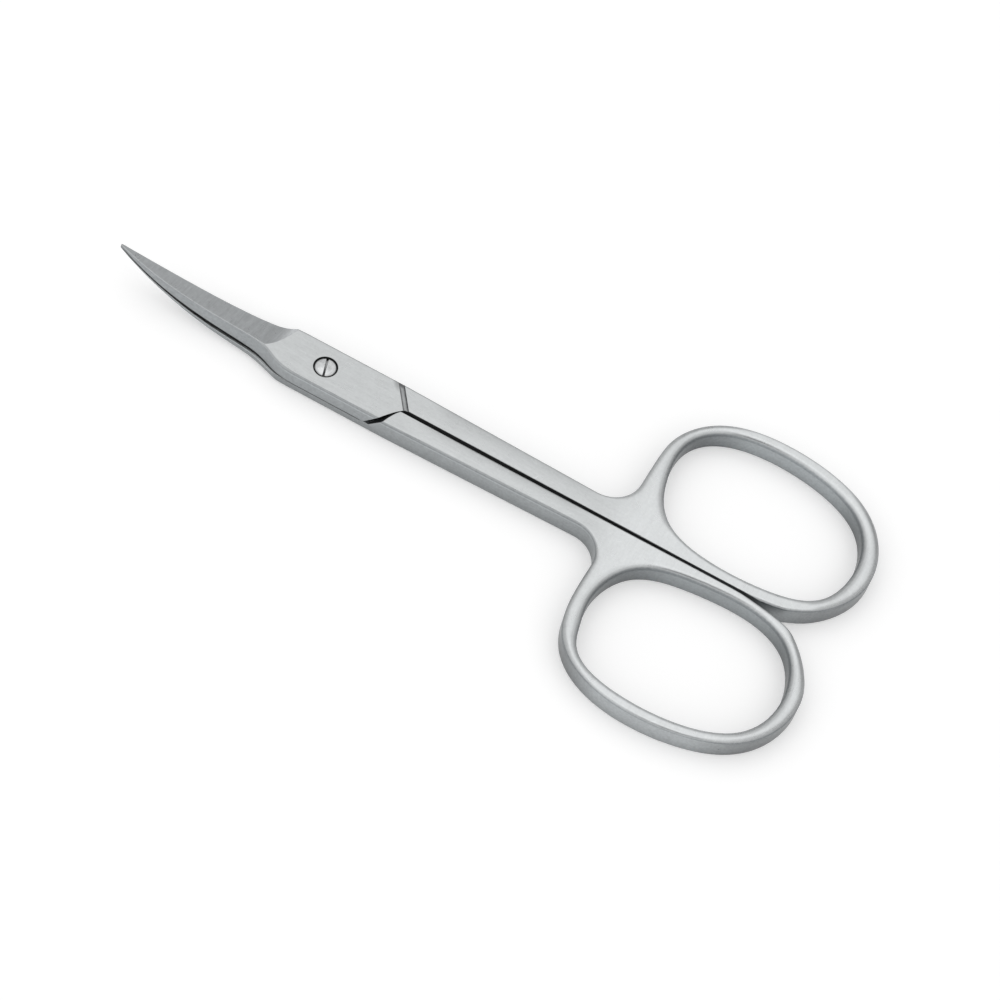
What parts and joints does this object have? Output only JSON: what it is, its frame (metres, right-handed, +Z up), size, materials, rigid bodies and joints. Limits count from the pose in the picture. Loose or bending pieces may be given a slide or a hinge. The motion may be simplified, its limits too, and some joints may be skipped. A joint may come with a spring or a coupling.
{
  "type": "cuticle scissors",
  "caption": "Small cuticle scissors with slim blades that curve upwards, flat shanks and oval finger rings, opening and closing on a flush slotted pivot screw.",
  "frame": {"origin": "on the pivot axis, at the flat underside on which the closed scissors lie", "axes": "+X along the closed scissors from the blades to the finger rings, +Y towards the upper half's ring, +Z up from the underside to the screw head"},
  "size_m": [0.0896, 0.0399, 0.0052],
  "materials": {
    "upper_steel": "satin",
    "lower_steel": "satin",
    "screw_steel": "semi-bright"
  },
  "bodies": {
    "lower": {"lower_half": "lower_steel", "pivot_screw": "screw_steel"},
    "upper": {"upper_half": "upper_steel"}
  },
  "joints": [
    {"name": "pivot", "type": "hinge", "parent": "lower", "child": "upper", "pos_m": [0, 0, 0], "axis": [0, 0, 1], "range_deg": [0, 90]}
  ]
}
